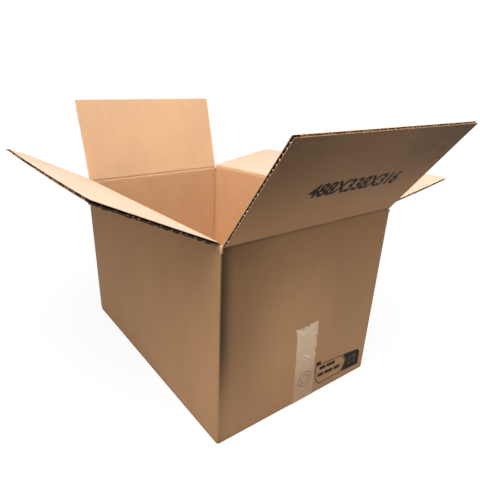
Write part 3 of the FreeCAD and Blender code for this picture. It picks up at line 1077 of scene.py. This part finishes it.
def numbers_mesh(words):
    """Figures as a flat mesh, made by way of a text object."""
    curve = bpy.data.curves.new("size_numbers", "FONT")
    curve.body = words
    curve.offset = 0.034
    curve.resolution_u = 6
    holder = bpy.data.objects.new("size_numbers", curve)
    bpy.context.scene.collection.objects.link(holder)
    bpy.context.view_layer.update()
    shaped = holder.evaluated_get(bpy.context.evaluated_depsgraph_get())
    mesh = bpy.data.meshes.new_from_object(shaped)
    bpy.data.objects.remove(holder)
    bpy.data.curves.remove(curve)
    return mesh


def stretch_to(bm, span, rise):
    """Moves and scales a flat bmesh so that it fills the span and the rise."""
    xs = [vertex.co.x for vertex in bm.verts]
    ys = [vertex.co.y for vertex in bm.verts]
    for vertex in bm.verts:
        x = (vertex.co.x - min(xs)) / (max(xs) - min(xs))
        y = (vertex.co.y - min(ys)) / (max(ys) - min(ys))
        vertex.co = (span[0] + x * (span[1] - span[0]), rise[0] + y * (rise[1] - rise[0]), 0.0)


numbers = numbers_mesh("488X338X316")
bm = bmesh.new()
bm.from_mesh(numbers)
bpy.data.meshes.remove(numbers)
bmesh.ops.remove_doubles(bm, verts=bm.verts, dist=1e-5)
stretch_to(bm, PRINT_SPAN, PRINT_RISE)
thicken(bm, INK_SKIN)
middle = sum(vertex.co.z for vertex in bm.verts) / len(bm.verts)
for vertex in bm.verts:
    vertex.co.z = OUTER_FACE - 0.055 * MM + (vertex.co.z - middle)
fold_all(bm, CREASES["front"])
size_print = make_piece("size_numbers_print", bm, (stamp_ink,))
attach(size_print, "front_flap")

# %% [markdown]
# The box of bars
#
# Flat shapes come from a few corner points each. A frame is a face inset by the
# width of its line, with the middle taken out; round corners are a bevel of the
# points. All of them lie on the end panel.

# %% Panel marks
def keep_line(bm, width):
    """Takes the middle out of a flat face, so that only its outline is left."""
    inset = bmesh.ops.inset_region(bm, faces=bm.faces[:], thickness=width,
                                   use_boundary=True, use_even_offset=True)
    middle_face = [face for face in bm.faces if face not in inset["faces"]]
    bmesh.ops.delete(bm, geom=middle_face, context="FACES")


def panel_shape(points, corner=0.0, line=0.0):
    """A flat shape on the end panel from (y, z) points in mm, or only its line."""
    bm = bmesh.new()
    corners = [bm.verts.new((0.0, y * MM, z * MM)) for y, z in points]
    bm.faces.new(corners)
    if corner:
        bmesh.ops.bevel(bm, geom=bm.verts[:], affect="VERTICES", offset=corner * MM,
                        segments=5, profile=0.5, material=-1)
    if line:
        keep_line(bm, line * MM)
    return bm


def lay_on_panel(bm, height):
    """Gives the flat shapes a skin's thickness and sets them on the panel."""
    flat = bmesh.ops.extrude_face_region(bm, geom=bm.faces[:])
    moved = [part for part in flat["geom"] if isinstance(part, bmesh.types.BMVert)]
    bmesh.ops.translate(bm, verts=moved, vec=(INK_SKIN, 0.0, 0.0))
    bmesh.ops.translate(bm, verts=bm.verts, vec=(HALF_LENGTH + height, 0.0, 0.0))


def bar(y0, z0, y1, z1, height):
    """A bar's corners, from its lower edge's two ends in mm."""
    return [(y0, z0), (y1, z1), (y1, z1 + height), (y0, z0 + height)]


BOX_LINE = [(32.9, 57.9), (35.9, 27.0), (47.1, 14.3), (104.4, 15.7), (113.6, 37.6), (103.8, 53.2)]
BOX_END = [(105.2, 53.4), (114.8, 37.6), (105.7, 15.8), (153.7, 13.5), (152.5, 42.4), (145.6, 49.5)]
BARS = ((44.5, 44.6, 60.0, 44.0), (62.5, 43.9, 84.0, 43.0), (42.0, 31.0, 56.0, 30.4),
        (58.5, 30.3, 80.0, 29.5), (82.5, 29.4, 99.0, 28.8))
mark_shapes = [panel_shape(BOX_LINE, corner=2.5, line=1.7), panel_shape(BOX_END, corner=0.8),
               panel_shape(bar(34.6, 57.6, 46.0, 57.0, 6.2), corner=1.0)]
mark_shapes += [panel_shape(bar(*ends, 6.6), corner=0.9) for ends in BARS]
bm = bmesh.new()
for shape in mark_shapes:
    append_sheet(bm, shape, 0)
lay_on_panel(bm, 0.01 * MM)
panel_mark = make_piece("panel_box_of_bars", bm, (stamp_ink,))
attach(panel_mark, "carton")

bm = bmesh.new()
for row in range(2):
    for column in range(2):
        y, z = 121.0 + 12.5 * column, 24.0 + 10.5 * row
        append_sheet(bm, panel_shape(bar(y, z, y + 9.5, z - 0.5, 8.0), corner=0.8), 0)
lay_on_panel(bm, 0.05 * MM)
panel_windows = make_piece("panel_grey_windows", bm, (thin_ink,))
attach(panel_windows, "carton")

# %% [markdown]
# The tape
#
# One strip of clear tape holds the bottom flaps and runs up both ends. It was
# put on in a hurry: it leans, its top left corner is folded over, its right
# edge is doubled near the top, and two creases cross it. Tape is only a tenth
# of a millimetre thick, so those creases are what makes it seen: the strip is
# a fine grid laid along its whole path and lifted where the film puckers.

# %% Tape edges and puckers
FILM = 0.03 * MM
# The strip's edges on the near end: heights, and how far to the right, in mm.
TAPE_LEFT = [(0.0, -15.2), (88.0, -16.4), (100.0, -17.4), (134.0, -18.8), (141.0, -20.6),
             (150.0, -24.4)]
TAPE_RIGHT = [(0.0, 32.6), (88.0, 28.8), (150.0, 26.2)]
# A pucker's two ends on the near end, how high it stands and how wide, in mm.
PUCKERS = [((-17.0, 88.6), (4.0, 89.4), 0.55, 0.9), ((4.0, 89.6), (14.0, 82.0), 1.00, 1.3),
           ((-24.3, 147.8), (-4.0, 129.0), 0.55, 1.0), ((-16.5, 83.0), (-8.0, 74.5), 0.40, 1.1),
           ((-2.0, 145.0), (1.0, 135.5), 0.22, 0.9), ((8.0, 147.0), (10.5, 137.0), 0.20, 0.9),
           ((22.0, 149.0), (24.8, 94.0), 0.28, 0.7), ((-9.0, 124.0), (2.0, 121.0), 0.16, 1.2),
           ((-14.0, 60.0), (20.0, 55.5), 0.14, 1.4), ((16.0, 118.0), (20.0, 104.0), 0.16, 1.2)]


def read_table(table, value):
    """Straight-line reading between a table's points."""
    for (a, at_a), (b, at_b) in zip(table, table[1:]):
        if value <= b:
            return at_a + (at_b - at_a) * (value - a) / (b - a)
    return table[-1][1]


def pucker_height(y, z):
    """How far the film stands off the panel at a point, all in mm."""
    height = 0.06 + 0.05 * rough(y * 0.07, z * 0.07, 5.0)
    for (y0, z0), (y1, z1), rise, width in PUCKERS:
        run_y, run_z = y1 - y0, z1 - z0
        t = ((y - y0) * run_y + (z - z0) * run_z) / (run_y ** 2 + run_z ** 2)
        t = min(1.0, max(0.0, t))
        away = math.hypot(y - y0 - run_y * t, z - z0 - run_z * t)
        height += rise * math.exp(-((away / width) ** 2))
    return max(0.045, height)


def pucker_shade(y, z):
    """Film catches light on a pucker's upper side and loses it below."""
    return max(-0.35, min(0.30, 0.55 * (pucker_height(y, z - 0.5) - pucker_height(y, z + 0.5))))


def write_pucker_light(bm, extra=0.0):
    """Painted light and shade: how much the film catches the light at each point of the near end.
    """
    layer = bm.verts.layers.float.new("lift")
    for vertex in bm.verts:
        if vertex.co.x > HALF_LENGTH - 0.4 * MM:
            vertex[layer] = extra + pucker_shade(vertex.co.y / MM, vertex.co.z / MM)


# %% [markdown]
# The strip is laid station by station, finely where its creases are and coarsely
# under the carton and up the far end. The folded corner and the doubled edge are
# second layers of the same film.

# %% Tape strip
PANEL, UNDER_REACH = 244.0, 243.6
UNDER_LEFT, UNDER_LEAN, UNDER_WIDTH = -15.6, 1.8, 48.4
FAR_LEFT, FAR_WIDTH = -17.4, 48.8


def tape_path():
    """Stations down the near end, under the carton and up the far end."""
    stations = [("near", 149.6 - 0.65 * step) for step in range(120)]
    stations += [("near", 71.6 - 1.6 * step) for step in range(45)]
    stations += [("under", x) for x in (UNDER_REACH, 236, 205, 160, 110, 60, 0,
                                        -60, -110, -160, -205, -236, -UNDER_REACH)]
    stations += [("far", z) for z in (0.6, 3, 8, 15, 25, 40, 55, 70, 85,
                                      100, 115, 130, 140, 146, 150)]
    return stations


def strip_place(where, value, across):
    """Where a point of the strip lies, in mm, from its station and its share across."""
    if where == "near":
        left, right = read_table(TAPE_LEFT, value), read_table(TAPE_RIGHT, value)
        y = left + (right - left) * across
        z = value - 1.7 * (1.0 - across) * ease(value, 90.0, 148.0)
        clear = 0.10 * (1.0 - ease(z, 14.0, 20.0))
        return PANEL + pucker_height(y, z) + clear, y, max(z, 0.3)
    if where == "under":
        lean = UNDER_LEAN * (UNDER_REACH - value) / (2 * UNDER_REACH)
        return value, UNDER_LEFT - lean + UNDER_WIDTH * across, 0.035
    ripple = 0.06 + 0.05 * rough(across * 6.0, value * 0.12, 9.0)
    z = value + 0.6 * rough(across * 9.0, 3.0, 1.0)
    return -PANEL - ripple, FAR_LEFT + FAR_WIDTH * across, z


def second_layer(columns, rows, place, extra):
    """Another layer of film on the near end, thickened and a little paler."""
    layer = board_grid(columns, rows)
    for vertex in layer.verts:
        y, z = place(vertex.co.x, vertex.co.y)
        vertex.co = Vector((PANEL + 0.12 + pucker_height(y, z), y, z)) * MM
    write_pucker_light(layer, extra)
    thicken(layer, FILM)
    return layer


def folded_corner(along, share):
    """The triangle that the top left corner of the tape is folded into."""
    tip, low, top = Vector((-24.3, 147.9)), Vector((-4.2, 129.2)), Vector((5.5, 148.4))
    return tip.lerp(low.lerp(top, share), max(along, 0.02))


def doubled_edge(across, share):
    """The narrow band where the tape's right edge lies double."""
    z = 91.5 + 57.6 * share
    return read_table(TAPE_RIGHT, z) - (2.2 + 1.6 * share) * (1.0 - across), z


TAPE_STATIONS = tape_path()
bm = board_grid(84, len(TAPE_STATIONS) - 1)
for vertex in bm.verts:
    where, value = TAPE_STATIONS[round(vertex.co.y * (len(TAPE_STATIONS) - 1))]
    vertex.co = Vector(strip_place(where, value, vertex.co.x)) * MM
write_pucker_light(bm)
bmesh.ops.recalc_face_normals(bm, faces=bm.faces)
thicken(bm, FILM)
append_sheet(bm, second_layer(30, 24, folded_corner, 0.12), 0)
append_sheet(bm, second_layer(5, 90, doubled_edge, 0.14), 0)
print("tape stations", len(TAPE_STATIONS))

# %% [markdown]
# Clear tape on brown paper looks pale where air is trapped under it, which is
# mostly near its loose top end, and nearly vanishes where it is rubbed down near
# the floor. A see-through shader would show that, but it is noisy and few other
# programs read it well. So the film is painted as what the eye sees: the kraft
# behind it, veiled by a pale haze that follows its height in patches, under a
# smoother gloss than the paper's, with fine streaks from the roller.

# %% Tape film
HAZE = (0.78, 0.61, 0.42, 1.0)
tape_film, tree, shader = new_material("clear_tape_film")
place = object_place(tree)
streak = noise_node(tree, stretch(tree, place, (40.0, 900.0, 40.0)), 1.0, 3.0)
haze = noise_node(tree, place, 80.0, 4.0, 0.6)
cloud = noise_node(tree, place, 24.0, 3.0, 0.55)
fibre = noise_node(tree, stretch(tree, place, (900.0, 420.0, 1500.0)), 1.0, 3.0, 0.65)
veil = remap(tree, separate(tree, place)[2], 15 * MM, 135 * MM, 0.08, 0.64, smooth=True)
for patch, depth in ((haze, 0.07), (cloud, 0.06), (streak, 0.03), (fibre, 0.03)):
    veil = add(tree, veil, spread(tree, patch, -depth, depth))
# The puckers' painted light and shade, kept in the lift attribute, pale or darken the film.
veil = math_node(tree, "ADD", veil, attribute(tree, "lift"), clamp=True)
feed(tree, shader.inputs["Base Color"], mix_colour(tree, veil, OUTER_KRAFT, HAZE))
feed(tree, shader.inputs["Roughness"], spread(tree, streak, 0.30, 0.46))
shader.inputs["Specular IOR Level"].default_value = 0.3
feed(tree, shader.inputs["Normal"], bump_node(tree, add(tree, streak, haze), 0.04 * MM))
bottom_tape = make_piece("bottom_tape_film", bm, (tape_film,), sharp=60.0)
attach(bottom_tape, "carton")
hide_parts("bottom_tape")

# %% [markdown]
# The round mark lies under the tape. As the film is painted, the mark is laid
# just on it instead, in the brown that black ink shows through the haze.

# %% Round mark
veiled_ink = ink_material("veiled_stamp_ink", (0.18, 0.115, 0.075, 1.0), (0.28, 0.19, 0.125, 1.0))
ring_place = (Matrix.Translation((0.0, 9.6 * MM, 42.1 * MM))
              @ Matrix.Rotation(math.radians(90), 4, "Y"))
bm = bmesh.new()
for radius in (15 * MM, 9 * MM):
    ring = bmesh.new()
    bmesh.ops.create_circle(ring, cap_ends=True, segments=48, radius=radius, matrix=ring_place)
    keep_line(ring, 1.3 * MM)
    thicken(ring, 0.02 * MM)
    append_sheet(bm, ring, 0)
for vertex in bm.verts:
    film = (pucker_height(vertex.co.y / MM, vertex.co.z / MM) + 0.04) * MM
    vertex.co.x += HALF_LENGTH + film
panel_rings = make_piece("panel_round_mark", bm, (veiled_ink,))
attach(panel_rings, "carton")

# %% [markdown]
# Floor and light
#
# The carton stood under a large soft light a little on the camera's side, with
# a white surround. The floor is plain paper that the camera sees as nearly
# white but that still takes the carton's shadow, and the world fills the shade.

# %% Floor
TABLE_WHITE, TABLE_DARK = 0.62, 0.05
SKY_LOW, SKY_HIGH = 0.02, 0.06


def seen_directly(tree):
    """1 for a ray from the camera, a reflection or a see-through surface, else 0."""
    rays = tree.nodes.new("ShaderNodeLightPath").outputs
    seen = math_node(tree, "MAXIMUM", rays["Is Camera Ray"], rays["Is Glossy Ray"])
    return math_node(tree, "MAXIMUM", seen, rays["Is Transmission Ray"])


floor_bm = bmesh.new()
bmesh.ops.create_grid(floor_bm, x_segments=1, y_segments=1, size=8.0)
floor_mesh = bpy.data.meshes.new("studio_floor")
floor_bm.to_mesh(floor_mesh)
floor_bm.free()
studio_floor = bpy.data.objects.new("studio_floor", floor_mesh)
bpy.context.scene.collection.objects.link(studio_floor)

floor_material, tree, shader = new_material("studio_floor_white")
shader.inputs["Roughness"].default_value = 0.9
shader.inputs["Specular IOR Level"].default_value = 0.0
seen = seen_directly(tree)
# The table under the carton is pale and ends about half a metre from it.
reach = vector_length(tree, object_place(tree))
table = remap(tree, reach, 0.62, 0.95, TABLE_WHITE, TABLE_DARK, smooth=True)
paper = remap(tree, seen, 0.0, 1.0, table, 0.90)
feed(tree, shader.inputs["Base Color"], grey_colour(tree, paper))
white = tree.nodes.new("ShaderNodeEmission")
white.inputs["Color"].default_value = (1.0, 1.0, 1.0, 1.0)
white.inputs["Strength"].default_value = 1.02
blend_white = tree.nodes.new("ShaderNodeMixShader")
away_share = remap(tree, reach, 0.55, 1.10, 0.88, 1.0, smooth=True)
feed(tree, blend_white.inputs[0], multiply(tree, seen, away_share))
feed(tree, blend_white.inputs[1], shader.outputs[0])
feed(tree, blend_white.inputs[2], white.outputs[0])
feed(tree, tree.nodes["Material Output"].inputs["Surface"], blend_white.outputs[0])
floor_mesh.materials.append(floor_material)

# %% World and lamps
world = bpy.data.worlds.new("studio_world")
bpy.context.scene.world = world
world.use_nodes = True
tree = world.node_tree
background = tree.nodes["Background"]
seen = seen_directly(tree)
sky = tree.nodes.new("ShaderNodeTexCoord").outputs["Generated"]
fill = remap(tree, separate(tree, sky)[2], 0.0, 0.75, SKY_LOW, SKY_HIGH, smooth=True)
background.inputs["Color"].default_value = (1.0, 1.0, 1.0, 1.0)
feed(tree, background.inputs["Strength"], choose(tree, seen, fill, 1.0))


def soft_light(name, place, size, power):
    """A square lamp that faces the middle of the carton."""
    data = bpy.data.lights.new(name, "AREA")
    data.shape = "SQUARE"
    data.size = size
    data.energy = power
    light = bpy.data.objects.new(name, data)
    light.location = place
    light.rotation_euler = (CARTON_MIDDLE - Vector(place)).to_track_quat("-Z", "Y").to_euler()
    bpy.context.scene.collection.objects.link(light)


CARTON_MIDDLE = Vector((0.0, 0.0, 0.2))
soft_light("overhead_softbox", (0.5, -0.3, 2.1), 1.8, 52.0)
soft_light("front_softbox", (1.3, -0.5, 1.8), 1.2, 10.0)
soft_light("upper_left_softbox", (0.35, -1.4, 1.6), 1.2, 14.5)
soft_light("left_softbox", (0.9, -2.2, 0.6), 1.4, 10.5)
soft_light("right_softbox", (0.6, 2.2, 1.0), 1.4, 15.0)

bpy.context.scene.view_settings.view_transform = "Standard"
